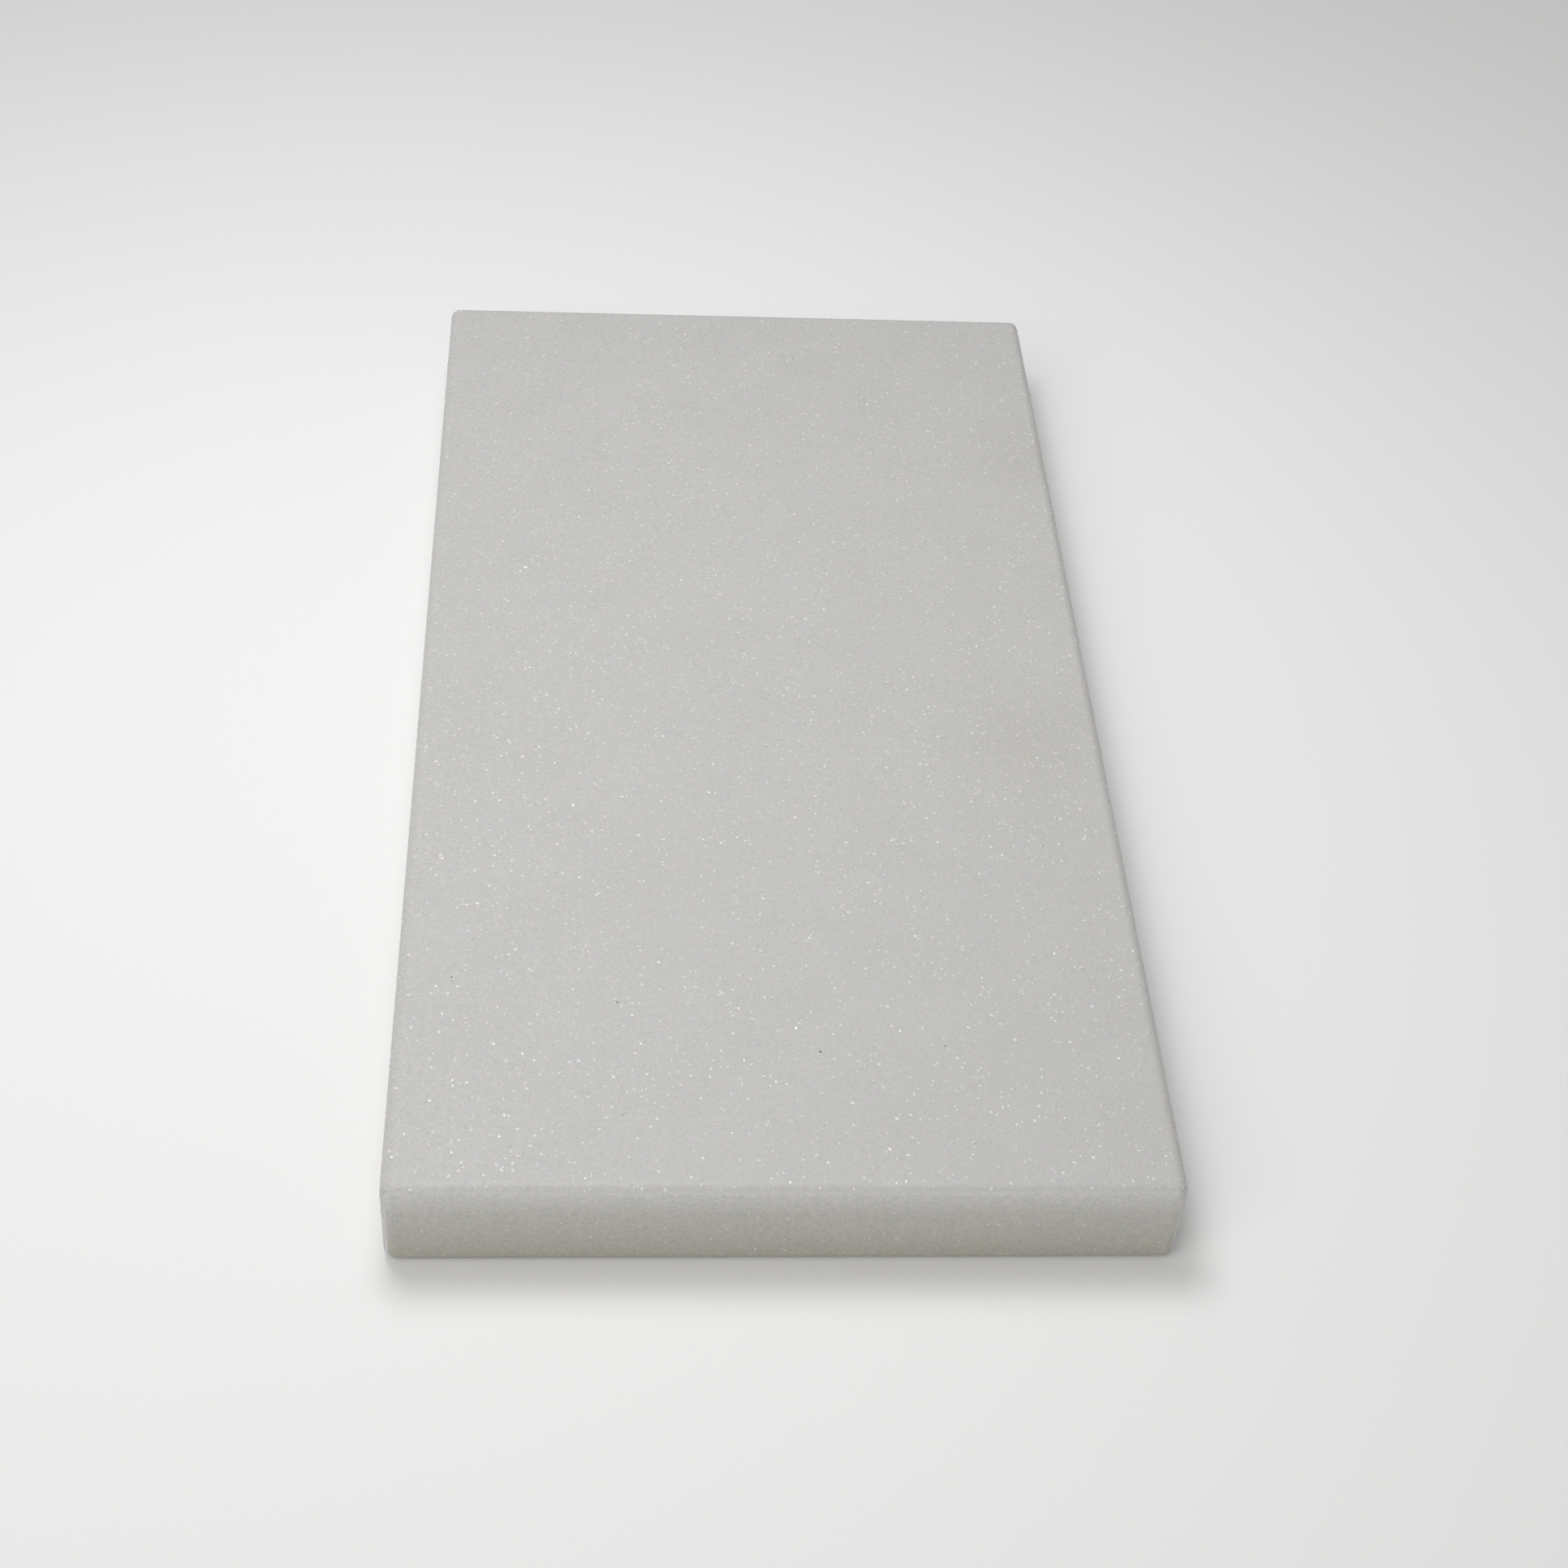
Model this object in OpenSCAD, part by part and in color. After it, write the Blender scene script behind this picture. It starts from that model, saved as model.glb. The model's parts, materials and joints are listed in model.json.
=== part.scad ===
// Slim nail buffer block: a flat foam core with an abrasive coat bonded to each
// of its four long sides. The two short ends are left as bare cut foam.
// The block lies flat, centred on the origin, with its length along Y and its
// lower working face on the plane z = 0.

/* [Block] */
// Length along Y, from one bare foam end to the other
block_l = 95; // [60:1:120]
// Width along X, over the coats
block_w = 49; // [24:1:60]
// Thickness along Z, over the coats
block_t = 7; // [5:0.1:26]

/* [Edges] */
// Radius that every edge and corner is eased to
edge_r = 0.8; // [0.4:0.1:2]

/* [Coats on the two wide faces] */
// Thickness of the abrasive coat, which is one layer of grains in resin
face_grit_t = 0.25; // [0.1:0.05:0.5]
// Thickness of the bond coat that holds the grains to the foam
face_bond_t = 0.1; // [0.05:0.05:0.3]

/* [Coats on the two long sides] */
// Thickness of the abrasive coat, which is one layer of grains in resin
side_grit_t = 0.25; // [0.1:0.05:0.5]
// Thickness of the bond coat that holds the grains to the foam
side_bond_t = 0.1; // [0.05:0.05:0.3]

/* [Hidden] */
$fn = 48;

// Insets of each layer's outer face from the block's own, across X and along Z
bond_inset = [side_grit_t, face_grit_t];
core_inset = bond_inset + [side_bond_t, face_bond_t];

// The eased edges of an inner layer keep at least this radius
least_r = 0.05;

// Coats meet on the 45 degree planes through the block's long edges. Their zones
// run this far in, which is deeper than any coat, and this far out of the block.
mitre_in = 0.4 * min(block_w, block_t);
mitre_out = 5;

foam_white = [0.83, 0.82, 0.79];
resin_white = [0.88, 0.87, 0.84];
grit_white = [0.78, 0.78, 0.77];

// A point on the 45 degree line through a corner of the block's section, so far out of it
function mitre(a, b, out) = [a * (block_w / 2 + out), b * (block_t / 2 + out)];

// A rectangle with rounded corners, centred on the origin
module rounded_rectangle(size, r) {
    square([size.x - 2 * r, size.y], center = true);
    square([size.x, size.y - 2 * r], center = true);
    for (a = [-1, 1], b = [-1, 1])
        translate([a * (size.x / 2 - r), b * (size.y / 2 - r)])
            circle(r = r);
}

// Outline of a layer in the block's section. Its corners are tighter by its inset.
module outline(inset) {
    rounded_rectangle([block_w, block_t] - 2 * inset, max(edge_r - max(inset), least_r));
}

// The zone of a wide face's coats in the section: side is 1 for the top, -1 for the bottom
module face_zone(side) {
    polygon([
        mitre(-1, side, -mitre_in), mitre(1, side, -mitre_in),
        mitre(1, side, mitre_out), mitre(-1, side, mitre_out)
    ]);
}

// The zone of a long side's coats in the section: side is 1 for the right, -1 for the left
module side_zone(side) {
    polygon([
        mitre(side, -1, -mitre_in), mitre(side, 1, -mitre_in),
        mitre(side, 1, mitre_out), mitre(side, -1, mitre_out)
    ]);
}

// Runs a section along the block, stands it on z = 0 and eases the edges of both ends
module bar() {
    translate([0, 0, block_t / 2])
        intersection() {
            rotate([90, 0, 0])
                linear_extrude(height = block_l, center = true)
                    children();
            rotate([0, 90, 0])
                linear_extrude(height = block_w, center = true)
                    rounded_rectangle([block_t, block_l], edge_r);
            linear_extrude(height = block_t, center = true)
                rounded_rectangle([block_w, block_l], edge_r);
        }
}

// A coat between two insets, kept to the zone that its children draw
module coat(outer_inset, inner_inset) {
    bar()
        intersection() {
            difference() {
                outline(outer_inset);
                outline(inner_inset);
            }
            children();
        }
}

// Foam body, which fills everything inside the coats and shows at both ends
module foam_core() {
    color(foam_white)
        bar()
            outline(core_inset);
}

// Resin film under the grains of a wide face
module face_bond_coat(side) {
    color(resin_white)
        coat(bond_inset, core_inset)
            face_zone(side);
}

// Grains and resin on a wide face, which follow the eased long edges to their middles
module face_grit_coat(side) {
    color(grit_white)
        coat([0, 0], bond_inset)
            face_zone(side);
}

// Resin film under the grains of a long side
module side_bond_coat(side) {
    color(resin_white)
        coat(bond_inset, core_inset)
            side_zone(side);
}

// Grains and resin on a long side, which meet the wide faces' coats at the eased edges
module side_grit_coat(side) {
    color(grit_white)
        coat([0, 0], bond_inset)
            side_zone(side);
}

foam_core();
face_bond_coat(1);  // top_bond_coat
face_bond_coat(-1);  // bottom_bond_coat
side_bond_coat(-1);  // left_bond_coat
side_bond_coat(1);  // right_bond_coat
face_grit_coat(1);  // top_grit_coat
face_grit_coat(-1);  // bottom_grit_coat
side_grit_coat(-1);  // left_grit_coat
side_grit_coat(1);  // right_grit_coat
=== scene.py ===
"""A slim nail buffer block: a cut foam bar with resin-bonded white grit on its four long sides."""

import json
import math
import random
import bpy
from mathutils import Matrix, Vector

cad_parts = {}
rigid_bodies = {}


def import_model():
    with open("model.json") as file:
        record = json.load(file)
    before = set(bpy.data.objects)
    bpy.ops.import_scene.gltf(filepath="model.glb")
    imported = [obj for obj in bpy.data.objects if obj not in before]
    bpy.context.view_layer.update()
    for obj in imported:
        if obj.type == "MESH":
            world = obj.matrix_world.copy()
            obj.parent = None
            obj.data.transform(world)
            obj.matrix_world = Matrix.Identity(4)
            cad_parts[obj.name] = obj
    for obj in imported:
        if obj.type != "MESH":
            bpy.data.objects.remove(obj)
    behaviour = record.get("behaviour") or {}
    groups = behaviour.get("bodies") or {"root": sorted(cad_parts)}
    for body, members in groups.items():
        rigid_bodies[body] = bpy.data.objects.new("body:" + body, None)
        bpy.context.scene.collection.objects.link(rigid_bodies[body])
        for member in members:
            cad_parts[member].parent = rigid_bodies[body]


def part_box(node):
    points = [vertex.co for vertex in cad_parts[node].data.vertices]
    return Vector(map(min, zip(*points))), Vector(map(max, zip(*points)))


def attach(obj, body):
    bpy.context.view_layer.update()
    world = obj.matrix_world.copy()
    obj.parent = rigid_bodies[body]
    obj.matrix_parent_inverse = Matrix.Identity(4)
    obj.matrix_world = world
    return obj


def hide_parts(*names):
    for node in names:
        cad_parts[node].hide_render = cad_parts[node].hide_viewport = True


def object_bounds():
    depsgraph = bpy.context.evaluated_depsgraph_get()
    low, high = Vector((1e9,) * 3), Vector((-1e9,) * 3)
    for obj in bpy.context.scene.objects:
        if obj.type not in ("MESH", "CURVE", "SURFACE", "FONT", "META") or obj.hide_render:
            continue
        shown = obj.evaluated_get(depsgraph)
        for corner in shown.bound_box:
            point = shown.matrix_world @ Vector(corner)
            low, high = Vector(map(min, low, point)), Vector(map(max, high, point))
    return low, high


bl_info = {
    "name": "Nail Buffer Block",
    "version": (1, 0, 0),
    "blender": (4, 5, 0),
    "location": "View3D > Sidebar > Buffer Block",
    "description": "Builds a slim foam nail buffer block with grit coats and a studio",
    "category": "Add Mesh",
}

import bmesh
import bpy
from bpy.props import FloatProperty, FloatVectorProperty, IntProperty, PointerProperty
from mathutils import Matrix, Vector, noise

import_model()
cad_low, cad_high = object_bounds()

MM = 0.001

# Turn between two rows of faces round an eased edge
ARC_STEP = math.radians(7)

# Faces that meet at more than this keep a crisp edge
SHARP = math.radians(40)

# Vertices nearer than this are taken as one, or as lying on a border
TOUCH = MM / 1000

# The block's own sizes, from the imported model
BLOCK = cad_high - cad_low
GRIT_T = cad_high.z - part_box("top_bond_coat")[1].z
CORE_INSET = cad_high.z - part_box("foam_core")[1].z

# Faint stains on the upper face: the middle of each and how far it reaches, in millimetres
STAINS = (((23, 27.5, 7), 7), ((19, -7.5, 7), 8))

# Patches of the coat that took up more or less resin, and streaks in the bond coats
CLOUD_WIDTH = 6 * MM
STREAK_WIDTH = 0.3 * MM

# Share of each cell's own random colour in its tone
GRIT_TINT = 0.025
FOAM_TINT = 0.03

# Height of the foam's middle tone, as a share of the block's thickness
# The foam's tones are painted light and shade: lighter high up, darker and warmer low down
FOAM_MIDDLE = 0.68

# Strength of the random lean of the fine grit's facets
FACET_LEAN = 0.12

# Random part of the bed's relief, next to its smooth bumps
ROUGH_SHARE = 0.5

# Share of a cut foam cell that its sloping walls take up
CELL_WALL = 0.5

# A grain for a width of about one: its sides, the radii of its base and its top, its height, how
# far each corner strays along X, Y and Z, and how much longer than wide it may be
GRAIN_SIDES = 5
BASE_RADIUS = 0.72
TOP_RADIUS = 0.4
STUMP = 0.3
CORNER_STRAY = (0.12, 0.12, 0.02)
LONGEST = 1.4

# Least and greatest scale of a scattered grain along its X, Y and Z
LEAST_GRAIN = (0.6, 0.6, 0.6)
GREATEST_GRAIN = (1.3, 1.3, 1.05)

# Kinds of white grain: roughness, size, and how many of the scattered templates are of that kind
GRAIN_KINDS = {"clear": (0.3, 1.4, 1), "milky": (0.4, 1.35, 4), "cloudy": (0.5, 1.0, 15)}

# Size of the stray grains on the cut ends, next to those in the coats
STRAY_SIZE = 0.7

# Each wide face's grains are made in this many pieces, so that no piece is too heavy
STRIPS = 3

# Dark grains on the upper face: across, along, and how wide each is, all in millimetres
DARK_GRAINS = (
    (2.5, -36.4, 0.16),
    (10.5, -35.9, 0.1),
    (-10.3, -32.3, 0.11),
    (-20.9, -30.2, 0.1),
    (-0.7, -41.8, 0.09),
)

# How far a dark grain is lifted out of the bed, next to its width
DARK_LIFT = 0.05

# Brown grains are as dull as the cloudy white ones
DARK_ROUGHNESS = 0.5

# Half the width of the studio floor, in metres
FLOOR_REACH = 4.0

# Soft boxes: the width of each and the place of its middle, in millimetres
SOFT_BOXES = {"key": (80, (-30, 20, 170)), "fill": (300, (-180, -230, 290))}

# Each coated side: the turn about Y that faces it up, its width, and its distance from the middle
SIDES = {
    "top": (0, BLOCK.x, BLOCK.z / 2),
    "right": (90, BLOCK.z, BLOCK.x / 2),
    "bottom": (180, BLOCK.x, BLOCK.z / 2),
    "left": (270, BLOCK.z, BLOCK.x / 2),
}


def srgb(hex_colour):
    """A hex colour, as a screen shows it, turned to the linear values that shaders work in."""
    parts = [int(hex_colour[i : i + 2], 16) / 255 for i in (1, 3, 5)]
    linear = [p / 12.92 if p <= 0.04045 else ((p + 0.055) / 1.055) ** 2.4 for p in parts]
    return (*linear, 1.0)


def length(name, description, millimetres):
    """A length property, given in millimetres and kept in metres."""
    return FloatProperty(
        name=name,
        description=description,
        default=millimetres * MM,
        min=0.0,
        unit="LENGTH",
        precision=5,
    )


def colour(name, description, hex_colour):
    """A colour property, given as a hex colour."""
    return FloatVectorProperty(
        name=name,
        description=description,
        default=srgb(hex_colour),
        size=4,
        min=0.0,
        max=1.0,
        subtype="COLOR",
    )


def angle(name, description, degrees):
    """An angle property, given in degrees."""
    return FloatProperty(
        name=name, description=description, default=math.radians(degrees), subtype="ANGLE"
    )


def number(name, description, value):
    """A plain number property."""
    return FloatProperty(name=name, description=description, default=value, min=0.0)


class ShapeSettings(bpy.types.PropertyGroup):
    """Sizes that every layer of the block shares."""

    edge_radius: length("Edge radius", "Radius that every edge is eased to", 0.8)
    tip_height: length("Tip height", "How far the grains' tips stand out of the resin", 0.04)


class GritSettings(bpy.types.PropertyGroup):
    """The beds of fine grit in resin on the four long sides. Their grains are 100 to 120 grit."""

    pitch: length("Mesh pitch", "Spacing of the mesh that carries the relief", 0.25)
    relief: length("Relief", "Height of the bed's bumps", 0.008)
    relief_width: length("Relief width", "Width of one of the bed's bumps", 0.6)
    grain_width: length("Grain width", "Width of the fine grains packed in the bed", 0.14)
    light: colour("Light tone", "Clear white grains at the top of the bed", "#CBCAC7")
    middle: colour("Middle tone", "Main tone of the bed", "#C6C5C2")
    dark: colour("Deep tone", "Resin between the grains", "#C1C0BC")
    stain: colour("Stain", "Tint of the faint stains on the upper face", "#F8F6EE")


class GrainSettings(bpy.types.PropertyGroup):
    """The angular grains that stand out of the beds."""

    width: length("Width", "Usual width of a grain", 0.14)
    gap: length("Least gap", "Least distance between the middles of two grains", 0.2)
    density: number("Density", "Most grains on a square millimetre", 6.5)
    stray: number("Stray grains", "Most grains on a square millimetre of the cut ends", 1.3)
    tilt: angle("Tilt", "Most that a grain leans from the surface", 16)
    # The clear and milky grains are lighter than the bed partly as pale crystals and partly as
    # painted glints
    clear: colour("Clear grains", "Clear crystals", "#E2E1DE")
    milky: colour("Milky grains", "Milky crystals", "#D4D3D0")
    cloudy: colour("Cloudy grains", "Cloudy crystals", "#C9C8C5")
    brown: colour("Dark grains", "The few brown crystals", "#4F4941")
    seed: IntProperty(name="Seed", description="Another value gives another scatter", default=7)


class ResinSettings(bpy.types.PropertyGroup):
    """The bond coats under the grit."""

    pitch: length("Mesh pitch", "Spacing of the mesh", 0.9)
    main: colour("Resin", "Milky latex resin film", "#D0CFCC")


class FoamSettings(bpy.types.PropertyGroup):
    """The cut foam core, which shows at both ends."""

    pitch: length("Mesh pitch", "Spacing of the mesh on a cut end", 0.09)
    cell: length("Cell width", "Usual width of a cut cell", 0.16)
    pit: length("Pit depth", "Depth of a cut cell", 0.008)
    # These three tones are painted light and shade: lighter at the top, greyer, warmer and darker
    # towards the bottom
    high: colour("Upper tone", "Foam next to the upper coat", "#DBDAD7")
    middle: colour("Middle tone", "Foam a little way below the upper coat", "#C5C3BD")
    low: colour("Lower tone", "Foam next to the lower coat", "#B3B1A4")


class StageSettings(bpy.types.PropertyGroup):
    """Camera, lights and floor."""

    aim: FloatVectorProperty(
        name="Aim",
        description="Point that the camera looks at",
        default=(1.708 * MM, -8.146 * MM, 3.5 * MM),
        unit="LENGTH",
    )
    distance: length("Distance", "From the camera to its aim", 186.88)
    azimuth: angle("Azimuth", "How far the camera stands to the left of the block's axis", 5.787)
    elevation: angle("Elevation", "Height of the camera above the horizon", 43.173)
    roll: angle("Roll", "Turn of the camera about its own axis", 4.55)
    lens: number("Lens", "Focal length in millimetres", 59.69)
    sky: number("Sky", "Brightness of the soft light from all round", 0.36)
    key: number("Key light", "Power of the soft box above, in watts", 0.1425)
    key_colour: colour("Key colour", "Tint of the key light", "#FCFCFF")
    fill: number("Fill light", "Power of the soft box above and in front, in watts", 0.46)
    fill_colour: colour("Fill colour", "Tint of the fill light", "#FFFEFC")
    floor: colour("Floor", "Pale studio floor", "#F6F6F5")


class BlockSettings(bpy.types.PropertyGroup):
    """All the settings, as the panel groups them."""

    shape: PointerProperty(type=ShapeSettings)
    grit: PointerProperty(type=GritSettings)
    grains: PointerProperty(type=GrainSettings)
    resin: PointerProperty(type=ResinSettings)
    foam: PointerProperty(type=FoamSettings)
    stage: PointerProperty(type=StageSettings)


# ------------------------------------------------------------------ materials


def add_node(tree, kind, settings=None, inputs=None):
    """Adds a node with its settings. Each input is a plain value or another node's output."""
    node = tree.nodes.new(kind)
    for key, value in (settings or {}).items():
        setattr(node, key, value)
    for socket, value in (inputs or {}).items():
        if isinstance(value, bpy.types.NodeSocket):
            tree.links.new(value, node.inputs[socket])
        else:
            node.inputs[socket].default_value = value
    return node


def new_material(name):
    """A material with an empty node tree."""
    material = bpy.data.materials.new(name)
    material.use_nodes = True
    material.node_tree.nodes.clear()
    return material


def surface(material, inputs):
    """Ends a material with a Principled shader."""
    tree = material.node_tree
    shader = add_node(tree, "ShaderNodeBsdfPrincipled", {}, inputs)
    add_node(tree, "ShaderNodeOutputMaterial", {}, {"Surface": shader.outputs["BSDF"]})
    return material


def white_grit_in_resin(grit):
    """Fine white fused alumina in latex resin, sprayed and cured: matt, with glinting facets."""
    material = new_material("white_alumina_grit_in_resin")
    tree = material.node_tree
    place = add_node(tree, "ShaderNodeTexCoord").outputs["Object"]

    # One cell for each fine grain, with a tone and a lean of its own
    scale = 1 / grit.grain_width
    cells = add_node(tree, "ShaderNodeTexVoronoi", {}, {"Vector": place, "Scale": scale})
    parts = add_node(tree, "ShaderNodeSeparateColor", {}, {"Color": cells.outputs["Color"]})
    ramp = add_node(tree, "ShaderNodeValToRGB", {}, {"Fac": parts.outputs["Red"]})
    stops = ramp.color_ramp.elements
    stops[0].color = grit.dark
    stops[1].color = grit.light
    stops.new(0.5).color = grit.middle
    tinted = add_node(
        tree,
        "ShaderNodeMix",
        {"data_type": "RGBA"},
        {"Factor": GRIT_TINT, 6: ramp.outputs["Color"], 7: cells.outputs["Color"]},
    )

    # Cloudiness a few millimetres wide, where the coat took up more or less resin
    cloud = add_node(
        tree, "ShaderNodeTexNoise", {}, {"Vector": place, "Scale": 1 / CLOUD_WIDTH, "Detail": 3.0}
    )
    shade = add_node(
        tree,
        "ShaderNodeMapRange",
        {},
        {
            "Value": cloud.outputs["Fac"],
            "From Min": 0.3,
            "From Max": 0.7,
            "To Min": 0.985,
            "To Max": 1.015,
        },
    )
    tone = add_node(
        tree,
        "ShaderNodeVectorMath",
        {"operation": "SCALE"},
        {0: tinted.outputs[2], "Scale": shade.outputs["Result"]},
    ).outputs["Vector"]

    # Faint warm stains from handling, strongest in their middles
    for centre, reach in STAINS:
        gap = add_node(
            tree,
            "ShaderNodeVectorMath",
            {"operation": "DISTANCE"},
            {0: place, 1: Vector(centre) * MM},
        )
        share = add_node(
            tree,
            "ShaderNodeMapRange",
            {"interpolation_type": "SMOOTHSTEP"},
            {"Value": gap.outputs["Value"], "From Max": reach * MM, "To Min": 0.5, "To Max": 0.0},
        )
        stained = add_node(
            tree,
            "ShaderNodeMix",
            {"data_type": "RGBA", "blend_type": "MULTIPLY"},
            {"Factor": share.outputs["Result"], 6: tone, 7: grit.stain},
        )
        tone = stained.outputs[2]

    # Facets of the fine grains
    straight = add_node(tree, "ShaderNodeNewGeometry").outputs["Normal"]
    facet = cells.outputs["Color"]
    for operation, inputs in (
        ("SUBTRACT", {1: (0.5, 0.5, 0.5)}),
        ("SCALE", {"Scale": FACET_LEAN}),
        ("ADD", {1: straight}),
        ("NORMALIZE", {}),
    ):
        step = add_node(
            tree, "ShaderNodeVectorMath", {"operation": operation}, {0: facet, **inputs}
        )
        facet = step.outputs["Vector"]

    return surface(
        material, {"Base Color": tone, "Roughness": 0.5, "IOR": 1.5, "Normal": facet}
    )


def alumina_grain(name, tone, roughness):
    """Crushed fused alumina: crystals with flat, glossy broken faces.

    Each grain is one plain tone, because it is smaller than any pattern in it would be.
    """
    return surface(new_material(name), {"Base Color": tone, "Roughness": roughness, "IOR": 1.76})


def milky_resin(resin):
    """Cured latex resin film, milky white and slightly glossy."""
    material = new_material("milky_latex_resin")
    tree = material.node_tree
    place = add_node(tree, "ShaderNodeTexCoord").outputs["Object"]
    streaks = add_node(
        tree, "ShaderNodeTexNoise", {}, {"Vector": place, "Scale": 1 / STREAK_WIDTH, "Detail": 2.0}
    )
    shade = add_node(
        tree,
        "ShaderNodeMapRange",
        {},
        {"Value": streaks.outputs["Fac"], "To Min": 0.94, "To Max": 1.04},
    )
    base = add_node(
        tree,
        "ShaderNodeVectorMath",
        {"operation": "SCALE"},
        {0: resin.main[:3], "Scale": shade.outputs["Result"]},
    )
    return surface(material, {"Base Color": base.outputs["Vector"], "Roughness": 0.45, "IOR": 1.5})


def cut_foam(foam):
    """Closed-cell foam cut with a blade: matt walls round small shaded hollows.

    Its colour holds painted light and shade: lighter at the top, greyer, warmer and darker lower
    down.
    """
    material = new_material("cut_closed_cell_foam")
    tree = material.node_tree
    place = add_node(tree, "ShaderNodeTexCoord").outputs["Object"]
    # Painted light and shade: the colour runs from a darker, warmer bottom to a lighter top
    axes = add_node(tree, "ShaderNodeSeparateXYZ", {}, {"Vector": place})
    height = add_node(
        tree, "ShaderNodeMapRange", {}, {"Value": axes.outputs["Z"], "From Max": BLOCK.z}
    )
    tone = add_node(tree, "ShaderNodeValToRGB", {}, {"Fac": height.outputs["Result"]})
    stops = tone.color_ramp.elements
    stops[0].color = foam.low
    stops[1].color = foam.high
    stops.new(FOAM_MIDDLE).color = foam.middle

    # One cell for each bubble that the blade opened, with a shade and a tint of its own
    cells = add_node(tree, "ShaderNodeTexVoronoi", {}, {"Vector": place, "Scale": 1 / foam.cell})
    parts = add_node(tree, "ShaderNodeSeparateColor", {}, {"Color": cells.outputs["Color"]})
    shade = add_node(
        tree,
        "ShaderNodeMapRange",
        {},
        {"Value": parts.outputs["Red"], "To Min": 0.94, "To Max": 1.06},
    )
    tinted = add_node(
        tree,
        "ShaderNodeMix",
        {"data_type": "RGBA"},
        {"Factor": FOAM_TINT, 6: tone.outputs["Color"], 7: cells.outputs["Color"]},
    )
    base = add_node(
        tree,
        "ShaderNodeVectorMath",
        {"operation": "SCALE"},
        {0: tinted.outputs[2], "Scale": shade.outputs["Result"]},
    )
    return surface(material, {"Base Color": base.outputs["Vector"], "Roughness": 0.8, "IOR": 1.45})


# ------------------------------------------------------------------ meshes


def finished_piece(name, bm, material, smooth=True):
    """Turns a bmesh into a piece that rides on the block's one body."""
    mesh = bpy.data.meshes.new(name)
    for face in bm.faces:
        face.smooth = smooth
    for edge in bm.edges:
        edge.smooth = edge.calc_face_angle(0) < SHARP
    bm.to_mesh(mesh)
    bm.free()
    mesh.materials.append(material)
    piece = bpy.data.objects.new(name, mesh)
    bpy.context.scene.collection.objects.link(piece)
    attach(piece, "root")
    return piece


def place_on(side):
    """The matrix that takes a face looking up from the plane z = 0 to one side of the block."""
    turn, _, reach = SIDES[side]
    return (
        Matrix.Translation((0, 0, BLOCK.z / 2))
        @ Matrix.Rotation(math.radians(turn), 4, "Y")
        @ Matrix.Translation((0, 0, reach))
    )


def grid(half_x, half_y, depth, pitch):
    """A flat grid that looks up from a depth below the plane z = 0."""
    bm = bmesh.new()
    counts = [max(2, round(2 * half / pitch)) for half in (half_x, half_y)]
    bmesh.ops.create_grid(bm, x_segments=counts[0], y_segments=counts[1], size=1)
    bmesh.ops.scale(bm, vec=(half_x, half_y, 1), verts=bm.verts)
    bmesh.ops.translate(bm, vec=(0, 0, -depth), verts=bm.verts)
    return bm


def ease(bm, axis, half, centre, sweep):
    """Sweeps both borders that lie at -half and half along an axis round arcs.

    The centre is that of the arc at the positive end, and its X is the distance along the axis.
    """
    across = 1 - axis
    for sign in (-1, 1):
        edges = [
            e
            for e in bm.edges
            if e.is_boundary and all(abs(v.co[axis] - sign * half) < TOUCH for v in e.verts)
        ]
        middle = Vector((0, 0, centre.z))
        middle[axis] = sign * centre.x
        about = Vector((0, 0, 0))
        about[across] = 1
        bmesh.ops.spin(
            bm,
            geom=edges + list({v for e in edges for v in e.verts}),
            cent=middle,
            axis=about,
            angle=sign * sweep * (1 if axis == 0 else -1),
            steps=max(2, round(sweep / ARC_STEP)),
            use_merge=False,
        )


def skin(shape, width, outer, inner, pitch):
    """The outer face of a coat that looks up, between two depths under the block's face.

    It follows the long edges as far as the 45 degree planes where coats meet, and the eased edges
    at both ends down to the inner depth.
    """
    radius = shape.edge_radius
    end_radius = radius - shape.tip_height
    half_x = width / 2 - radius
    end_y = BLOCK.y / 2 - radius
    start, stop = (math.acos((radius - depth) / end_radius) for depth in (outer, inner))
    half_y = end_y + end_radius * math.sin(start)
    bm = grid(half_x, half_y, outer, pitch)
    ease(bm, 0, half_x, Vector((half_x, 0, -radius)), math.pi / 4)
    ease(bm, 1, half_y, Vector((end_y, 0, -radius)), stop - start)
    return bm


def coat(shape, width, outer, inner, pitch):
    """A closed coat that looks up, and its outer vertices. It thins out to nothing at both ends."""
    radius = shape.edge_radius
    half_x = width / 2 - radius
    bm = skin(shape, width, outer, inner, pitch)

    # The inner wall is the skin again, moved in to its own depth
    outside = list(bm.verts)
    made = bmesh.ops.extrude_face_region(bm, geom=list(bm.faces), use_keep_orig=True)["geom"]
    for v in (g for g in made if isinstance(g, bmesh.types.BMVert)):
        over = max(0.0, abs(v.co.x) - half_x)
        turn = math.atan2(over, v.co.z + radius)
        v.co.z = (radius - inner) * math.cos(turn) - radius
        if over:
            v.co.x = math.copysign(half_x + (radius - inner) * math.sin(turn), v.co.x)
    inside = [
        g
        for g in made
        if isinstance(g, bmesh.types.BMFace) and all(abs(v.co.x) <= half_x for v in g.verts)
    ]
    bmesh.ops.dissolve_faces(bm, faces=inside)
    bmesh.ops.remove_doubles(bm, verts=bm.verts, dist=TOUCH)
    bmesh.ops.recalc_face_normals(bm, faces=bm.faces)
    return bm, [v for v in outside if v.is_valid]


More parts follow.
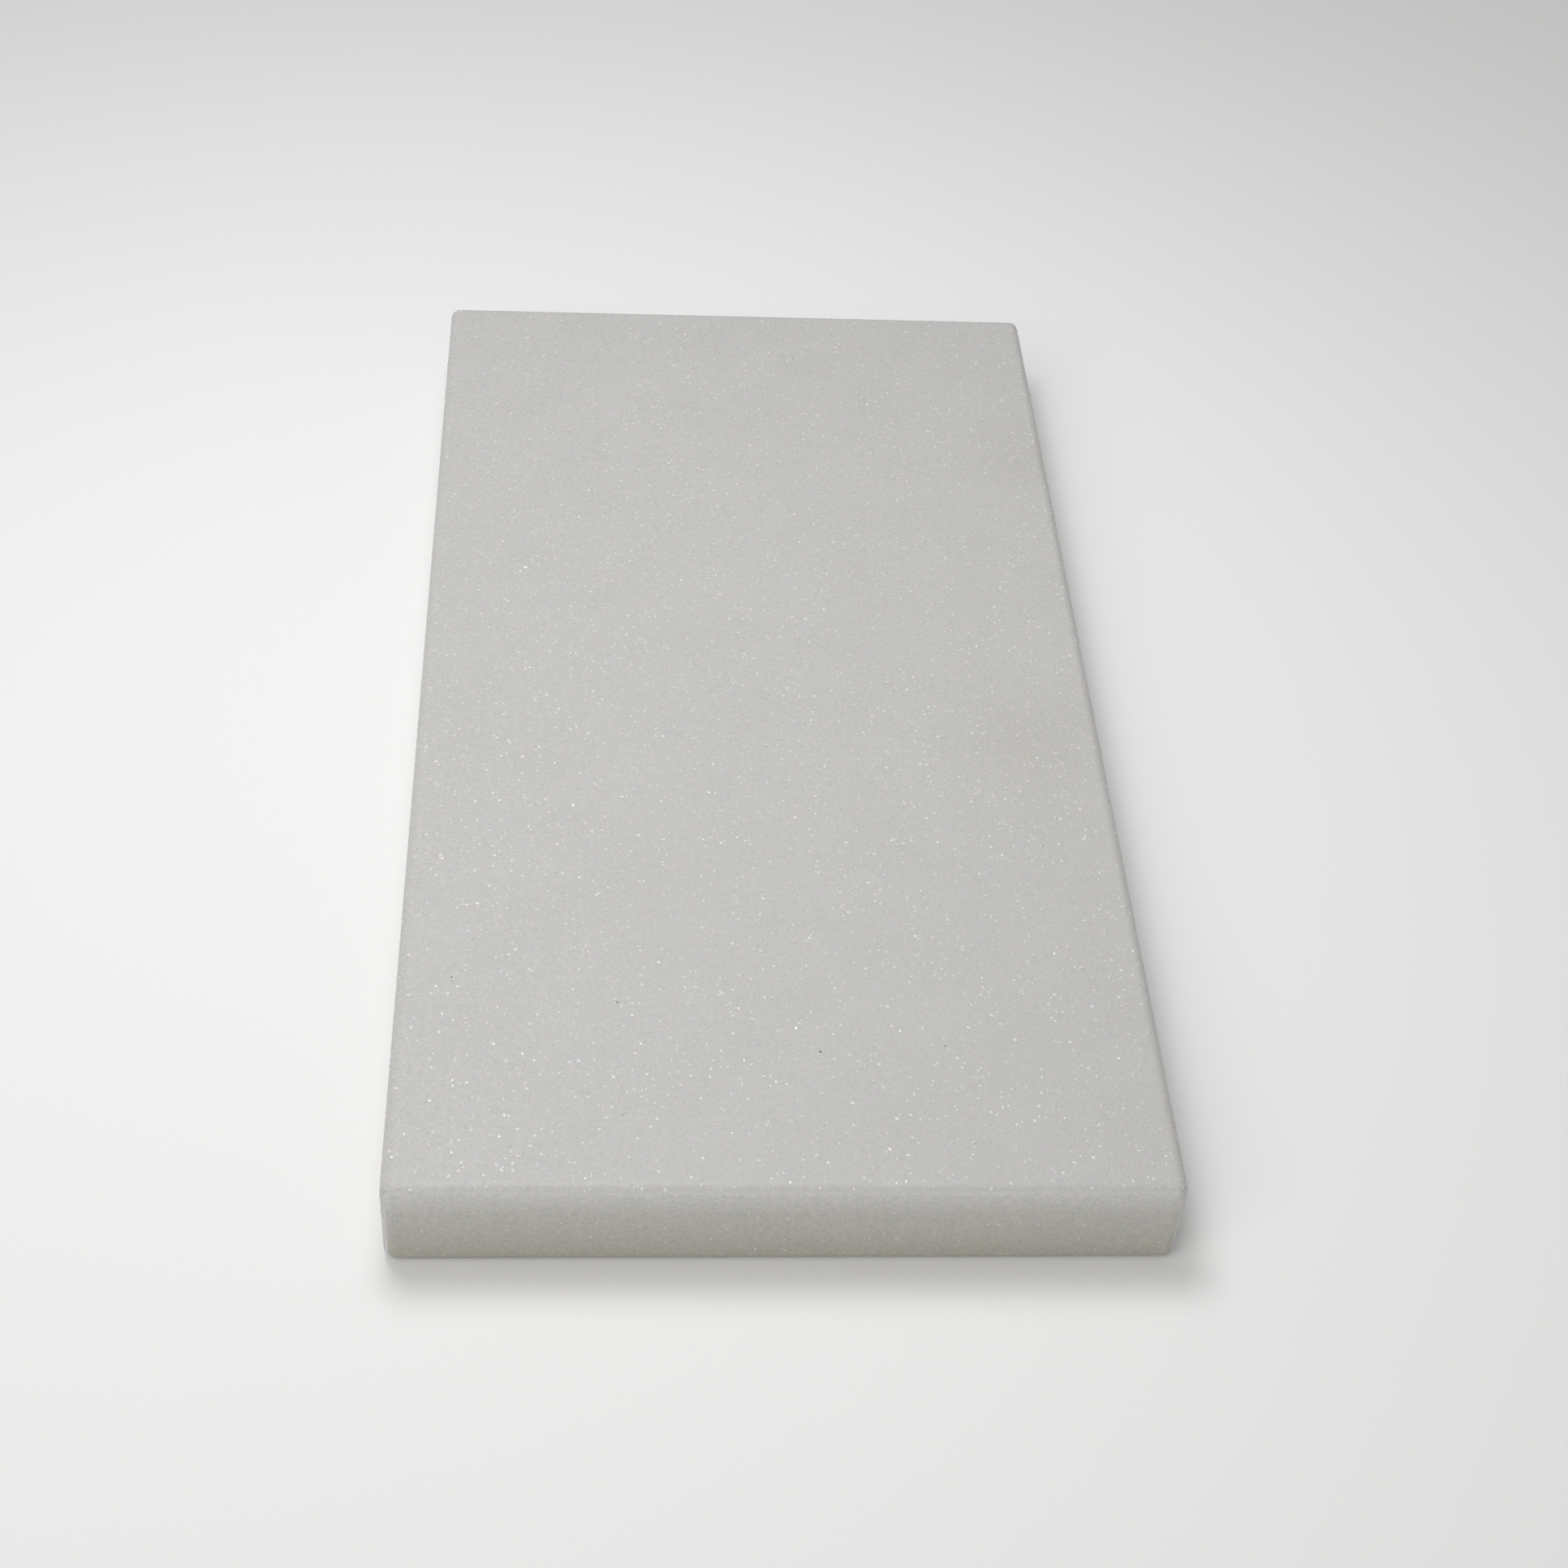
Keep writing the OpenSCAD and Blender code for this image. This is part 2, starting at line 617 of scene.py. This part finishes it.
def end_face(shape, pitch):
    """The cut end of the foam, which looks up: a flat middle and its share of the eased edges."""
    radius = shape.edge_radius
    sweep = math.asin((radius - CORE_INSET) / (radius - shape.tip_height))
    half_x = BLOCK.x / 2 - radius
    half_y = BLOCK.z / 2 - radius
    bm = grid(half_x, half_y, shape.tip_height, pitch)
    ease(bm, 1, half_y, Vector((half_y, 0, -radius)), sweep)
    ease(bm, 0, half_x, Vector((half_x, 0, -radius)), sweep)
    bmesh.ops.recalc_face_normals(bm, faces=bm.faces)
    if sum(f.normal.z for f in bm.faces) < 0:
        bmesh.ops.reverse_faces(bm, faces=bm.faces)
    return bm


def roughen(vertices, height, width, rng):
    """Moves vertices along their normals, by bumps of a given height and width and at random."""
    offsets = []
    for v in vertices:
        wave = noise.noise(v.co / width) + ROUGH_SHARE * rng.uniform(-1, 1)
        offsets.append(v.normal * (height * wave))
    for v, offset in zip(vertices, offsets):
        v.co += offset


def crystal(name, material, rng, size=1.0):
    """An angular grain about one unit wide for a size of one.

    It is a low stump with sloping sides and a broken, slanted top.
    """
    bm = bmesh.new()
    bmesh.ops.create_cone(
        bm,
        cap_ends=True,
        cap_tris=False,
        segments=GRAIN_SIDES,
        radius1=BASE_RADIUS,
        radius2=TOP_RADIUS,
        depth=STUMP,
    )
    for v in bm.verts:
        v.co += Vector([rng.uniform(-stray, stray) for stray in CORNER_STRAY])
    bmesh.ops.scale(bm, vec=(size * rng.uniform(1.0, LONGEST), size, 1), verts=bm.verts)

    # Three quarters of its height are sunk in the resin
    bmesh.ops.translate(bm, vec=(0, 0, -STUMP / 4), verts=bm.verts)
    bmesh.ops.triangulate(bm, faces=bm.faces)
    bmesh.ops.recalc_face_normals(bm, faces=bm.faces)
    mesh = bpy.data.meshes.new(name)
    bm.to_mesh(mesh)
    bm.free()
    mesh.materials.append(material)
    return bpy.data.objects.new(name, mesh)


def grain_scatter(field, templates, grains, density, size, seed):
    """Scatters the template grains over a field, sunk into it, and returns them as one mesh."""
    tree = bpy.data.node_groups.new("grain_scatter", "GeometryNodeTree")
    tree.interface.new_socket("Geometry", in_out="INPUT", socket_type="NodeSocketGeometry")
    tree.interface.new_socket("Geometry", in_out="OUTPUT", socket_type="NodeSocketGeometry")
    start = add_node(tree, "NodeGroupInput")
    points = add_node(
        tree,
        "GeometryNodeDistributePointsOnFaces",
        {"distribute_method": "POISSON"},
        {
            "Mesh": start.outputs["Geometry"],
            "Distance Min": grains.gap,
            "Density Max": density / MM**2,
            "Seed": seed,
        },
    )
    choice = add_node(
        tree, "GeometryNodeCollectionInfo", {}, {"Collection": templates, "Separate Children": True}
    )
    pick = add_node(
        tree,
        "FunctionNodeRandomValue",
        {"data_type": "INT"},
        {4: 0, 5: len(templates.objects) - 1, "Seed": seed},
    )
    most_lean = Vector((grains.tilt, grains.tilt, math.pi))
    lean = add_node(
        tree,
        "FunctionNodeRandomValue",
        {"data_type": "FLOAT_VECTOR"},
        {0: -most_lean, 1: most_lean, "Seed": seed + 1},
    )
    turned = add_node(
        tree,
        "FunctionNodeRotateRotation",
        {"rotation_space": "LOCAL"},
        {"Rotation": points.outputs["Rotation"], "Rotate By": lean.outputs[0]},
    )
    scale = add_node(
        tree,
        "FunctionNodeRandomValue",
        {"data_type": "FLOAT_VECTOR"},
        {
            0: [size * part for part in LEAST_GRAIN],
            1: [size * part for part in GREATEST_GRAIN],
            "Seed": seed + 2,
        },
    )
    placed = add_node(
        tree,
        "GeometryNodeInstanceOnPoints",
        {},
        {
            "Points": points.outputs["Points"],
            "Instance": choice.outputs["Instances"],
            "Pick Instance": True,
            "Instance Index": pick.outputs[2],
            "Rotation": turned.outputs["Rotation"],
            "Scale": scale.outputs[0],
        },
    )
    grown = {"Geometry": placed.outputs["Instances"]}
    real = add_node(tree, "GeometryNodeRealizeInstances", {}, grown)
    add_node(tree, "NodeGroupOutput", {}, {"Geometry": real.outputs["Geometry"]})

    modifier = field.modifiers.new("grains", "NODES")
    modifier.node_group = tree
    bpy.context.view_layer.update()
    evaluated = field.evaluated_get(bpy.context.evaluated_depsgraph_get())
    mesh = bpy.data.meshes.new_from_object(evaluated)
    field.modifiers.clear()
    bpy.data.node_groups.remove(tree)
    return mesh


# ------------------------------------------------------------------ operators


class BUFFERBLOCK_OT_foam(bpy.types.Operator):
    """Adds the foam core, with its cut cells open at both ends"""

    bl_idname = "buffer_block.foam"
    bl_label = "Foam core"

    def execute(self, context):
        settings = context.scene.buffer_block
        foam = settings.foam
        bm = end_face(settings.shape, foam.pitch)
        self.open_cells(bm, foam)

        # The end looks along -Y, and its twin along +Y
        bmesh.ops.translate(bm, vec=(0, 0, BLOCK.y / 2), verts=bm.verts)
        upright = Matrix.Rotation(math.pi / 2, 3, "X")
        bmesh.ops.rotate(bm, cent=(0, 0, 0), matrix=upright, verts=bm.verts)
        whole = list(bm.verts) + list(bm.edges) + list(bm.faces)
        twin = bmesh.ops.duplicate(bm, geom=whole)["geom"]
        bmesh.ops.rotate(
            bm,
            cent=(0, 0, 0),
            matrix=Matrix.Rotation(math.pi, 3, "Z"),
            verts=[g for g in twin if isinstance(g, bmesh.types.BMVert)],
        )
        bmesh.ops.bridge_loops(bm, edges=[e for e in bm.edges if e.is_boundary])
        bmesh.ops.translate(bm, vec=(0, 0, BLOCK.z / 2), verts=bm.verts)
        bmesh.ops.recalc_face_normals(bm, faces=bm.faces)
        piece = finished_piece("cut_foam_core", bm, cut_foam(foam))
        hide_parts("foam_core")
        return {"FINISHED"}

    def open_cells(self, bm, foam):
        """Sinks the middle of each cell that the blade opened, and leaves its walls standing."""
        for v in bm.verts:
            if v.is_boundary:
                continue
            near, far = noise.voronoi(v.co / foam.cell)[0][:2]
            hollow = min(1.0, (far - near) / CELL_WALL)
            v.co.z -= foam.pit * hollow * hollow * (3 - 2 * hollow)


class BUFFERBLOCK_OT_resin(bpy.types.Operator):
    """Adds the milky bond coat under the grit of each long side"""

    bl_idname = "buffer_block.resin"
    bl_label = "Bond coats"

    def execute(self, context):
        settings = context.scene.buffer_block
        material = milky_resin(settings.resin)
        for side, (_, width, _) in SIDES.items():
            bm, _ = coat(settings.shape, width, GRIT_T, CORE_INSET, settings.resin.pitch)
            bmesh.ops.transform(bm, matrix=place_on(side), verts=bm.verts)
            piece = finished_piece(f"{side}_bond_film", bm, material)
            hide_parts(f"{side}_bond_coat")
        return {"FINISHED"}


class BUFFERBLOCK_OT_grit(bpy.types.Operator):
    """Adds the bed of fine grit on each long side"""

    bl_idname = "buffer_block.grit"
    bl_label = "Grit beds"

    def execute(self, context):
        settings = context.scene.buffer_block
        shape, grit = settings.shape, settings.grit
        material = white_grit_in_resin(grit)
        for i, (side, (_, width, _)) in enumerate(SIDES.items()):
            rng = random.Random(i)
            bm, outside = coat(shape, width, shape.tip_height, GRIT_T, grit.pitch)
            bm.normal_update()
            roughen(outside, grit.relief, grit.relief_width, rng)
            bmesh.ops.transform(bm, matrix=place_on(side), verts=bm.verts)
            piece = finished_piece(f"{side}_grit_bed", bm, material)
            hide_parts(f"{side}_grit_coat")
        return {"FINISHED"}


class BUFFERBLOCK_OT_grains(bpy.types.Operator):
    """Adds the grains that stand out of the beds, and the few that stray onto the cut ends"""

    bl_idname = "buffer_block.grains"
    bl_label = "Grains"

    def execute(self, context):
        settings = context.scene.buffer_block
        shape, grains = settings.shape, settings.grains
        templates = self.templates(grains)
        fields = self.coat_fields(shape, grains) + self.end_fields(shape, grains)
        for i, field in enumerate(fields):
            self.scatter(*field, templates, grains, grains.seed + i)
        for template in list(templates.objects):
            bpy.data.objects.remove(template)
        bpy.data.collections.remove(templates)
        return {"FINISHED"}

    def templates(self, grains):
        """A collection of single grains, as many of each kind as its share."""
        rng = random.Random(grains.seed)
        makes = []
        for kind, (roughness, size, count) in GRAIN_KINDS.items():
            # The clear and milky tones hold painted glints as well as the crystals' own paleness
            material = alumina_grain(f"{kind}_alumina_grain", getattr(grains, kind), roughness)
            makes += [(material, size)] * count
        templates = bpy.data.collections.new("grain_templates")
        for i, (material, size) in enumerate(makes):
            templates.objects.link(crystal(f"grain_template_{i:02}", material, rng, size))
        return templates

    def coat_fields(self, shape, grains):
        """The coats' outer faces, each with its piece's name and its grains' density and size."""
        # Fine enough to follow the eased edges
        pitch = shape.edge_radius / 3
        fields = []
        for side, (_, width, _) in SIDES.items():
            strips = STRIPS if width > BLOCK.z else 1
            for strip in range(strips):
                bm = skin(shape, width, shape.tip_height, GRIT_T, pitch)
                for share, way in ((strip, -1), (strip + 1, 1)):
                    bmesh.ops.bisect_plane(
                        bm,
                        geom=bm.verts[:] + bm.edges[:] + bm.faces[:],
                        plane_co=(0, BLOCK.y * (share / strips - 0.5), 0),
                        plane_no=(0, way, 0),
                        clear_outer=True,
                    )
                bmesh.ops.transform(bm, matrix=place_on(side), verts=bm.verts)
                fields.append((f"{side}_grains_{strip + 1}", bm, grains.density, grains.width))
        return fields

    def end_fields(self, shape, grains):
        """The two cut ends, each with its piece's name and its grains' density and size."""
        fields = []
        for end, turn in (("near", 0), ("far", 180)):
            bm = end_face(shape, MM)
            matrix = (
                Matrix.Rotation(math.radians(turn), 4, "Z")
                @ Matrix.Translation((0, -BLOCK.y / 2, BLOCK.z / 2))
                @ Matrix.Rotation(math.pi / 2, 4, "X")
            )
            bmesh.ops.transform(bm, matrix=matrix, verts=bm.verts)
            fields.append((f"{end}_end_grains", bm, grains.stray, grains.width * STRAY_SIZE))
        return fields

    def scatter(self, name, bm, density, size, templates, grains, seed):
        """Makes one piece of grains scattered over the faces of a bmesh."""
        mesh = bpy.data.meshes.new(name)
        bm.to_mesh(mesh)
        bm.free()
        field = bpy.data.objects.new(name, mesh)
        bpy.context.scene.collection.objects.link(field)
        field.data = grain_scatter(field, templates, grains, density, size, seed)
        bpy.data.meshes.remove(mesh)
        field.data.name = name
        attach(field, "root")


class BUFFERBLOCK_OT_dark_grains(bpy.types.Operator):
    """Adds the few dark grains that lie among the white ones on the upper face"""

    bl_idname = "buffer_block.dark_grains"
    bl_label = "Dark grains"

    def execute(self, context):
        settings = context.scene.buffer_block
        grains = settings.grains
        bed = BLOCK.z - settings.shape.tip_height
        rng = random.Random(grains.seed)
        material = alumina_grain("brown_alumina_grain", grains.brown, DARK_ROUGHNESS)
        bm = bmesh.new()
        for x, y, width in DARK_GRAINS:
            template = crystal("dark_grain", material, rng)
            before = set(bm.verts)
            bm.from_mesh(template.data)
            added = [v for v in bm.verts if v not in before]
            bmesh.ops.scale(bm, vec=(width * MM,) * 3, verts=added)
            height = bed + DARK_LIFT * width * MM
            bmesh.ops.translate(bm, vec=(x * MM, y * MM, height), verts=added)
            bpy.data.meshes.remove(template.data)
        finished_piece("dark_grains", bm, material, smooth=False)
        return {"FINISHED"}


class BUFFERBLOCK_OT_stage(bpy.types.Operator):
    """Adds the floor, the lights and the camera"""

    bl_idname = "buffer_block.stage"
    bl_label = "Studio"

    def execute(self, context):
        scene = context.scene
        stage = scene.buffer_block.stage
        self.floor(scene, stage)
        self.lights(scene, stage)
        self.camera(scene, stage)
        scene.view_settings.view_transform = "Standard"
        return {"FINISHED"}

    def floor(self, scene, stage):
        """A wide sheet of matt white board."""
        bm = bmesh.new()
        bmesh.ops.create_grid(bm, x_segments=1, y_segments=1, size=FLOOR_REACH)
        mesh = bpy.data.meshes.new("studio_floor")
        bm.to_mesh(mesh)
        bm.free()
        mesh.materials.append(
            surface(new_material("matt_white_board"), {"Base Color": stage.floor, "Roughness": 0.9})
        )
        floor = bpy.data.objects.new("studio_floor", mesh)
        scene.collection.objects.link(floor)

    def lights(self, scene, stage):
        """Even light from all round, a soft box above and one in front of the left side."""
        world = bpy.data.worlds.new("soft_studio")
        world.use_nodes = True
        backdrop = world.node_tree.nodes["Background"]
        backdrop.inputs["Color"].default_value = (1, 1, 1, 1)
        backdrop.inputs["Strength"].default_value = stage.sky
        scene.world = world
        for name, (size, place) in SOFT_BOXES.items():
            soft_box = bpy.data.lights.new(f"{name}_soft_box", "AREA")
            soft_box.energy = getattr(stage, name)
            soft_box.color = getattr(stage, f"{name}_colour")[:3]
            soft_box.size = size * MM
            lamp = bpy.data.objects.new(f"{name}_soft_box", soft_box)
            lamp.location = Vector(place) * MM
            lamp.rotation_euler = lamp.location.to_track_quat("Z", "Y").to_euler()
            scene.collection.objects.link(lamp)

    def camera(self, scene, stage):
        """Looks down on the block from just left of its near end."""
        lens = bpy.data.cameras.new("camera")
        lens.lens = stage.lens
        lens.clip_start = 10 * MM
        camera = bpy.data.objects.new("camera", lens)
        back = Vector(
            (
                -math.sin(stage.azimuth) * math.cos(stage.elevation),
                -math.cos(stage.azimuth) * math.cos(stage.elevation),
                math.sin(stage.elevation),
            )
        )
        camera.matrix_world = (
            Matrix.Translation(Vector(stage.aim) + back * stage.distance)
            @ back.to_track_quat("Z", "Y").to_matrix().to_4x4()
            @ Matrix.Rotation(stage.roll, 4, "Z")
        )
        scene.collection.objects.link(camera)
        scene.camera = camera


class BUFFERBLOCK_PT_panel(bpy.types.Panel):
    """Lists the settings, and a button for each group of pieces."""

    bl_idname = "BUFFERBLOCK_PT_panel"
    bl_label = "Buffer Block"
    bl_space_type = "VIEW_3D"
    bl_region_type = "UI"
    bl_category = "Buffer Block"

    def draw(self, context):
        settings = context.scene.buffer_block
        for title, group, operators in SECTIONS:
            box = self.layout.box()
            box.label(text=title)
            for key in getattr(settings, group).bl_rna.properties.keys():
                if key not in ("rna_type", "name"):
                    box.prop(getattr(settings, group), key)
            for operator in operators:
                box.operator(f"buffer_block.{operator}")


# The panel's boxes: title, settings and buttons
SECTIONS = (
    ("Shape", "shape", ()),
    ("Foam", "foam", ("foam",)),
    ("Bond coats", "resin", ("resin",)),
    ("Grit beds", "grit", ("grit",)),
    ("Grains", "grains", ("grains", "dark_grains")),
    ("Studio", "stage", ("stage",)),
)

CLASSES = (
    ShapeSettings,
    GritSettings,
    GrainSettings,
    ResinSettings,
    FoamSettings,
    StageSettings,
    BlockSettings,
    BUFFERBLOCK_OT_foam,
    BUFFERBLOCK_OT_resin,
    BUFFERBLOCK_OT_grit,
    BUFFERBLOCK_OT_grains,
    BUFFERBLOCK_OT_dark_grains,
    BUFFERBLOCK_OT_stage,
    BUFFERBLOCK_PT_panel,
)


def register():
    for cls in CLASSES:
        bpy.utils.register_class(cls)
    bpy.types.Scene.buffer_block = PointerProperty(type=BlockSettings)


def unregister():
    del bpy.types.Scene.buffer_block
    for cls in reversed(CLASSES):
        bpy.utils.unregister_class(cls)


def main():
    """Builds the block in its studio."""
    register()
    bpy.ops.buffer_block.foam()
    bpy.ops.buffer_block.resin()
    bpy.ops.buffer_block.grit()
    bpy.ops.buffer_block.grains()
    bpy.ops.buffer_block.dark_grains()
    bpy.ops.buffer_block.stage()
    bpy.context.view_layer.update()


if __name__ == "__main__":
    main()
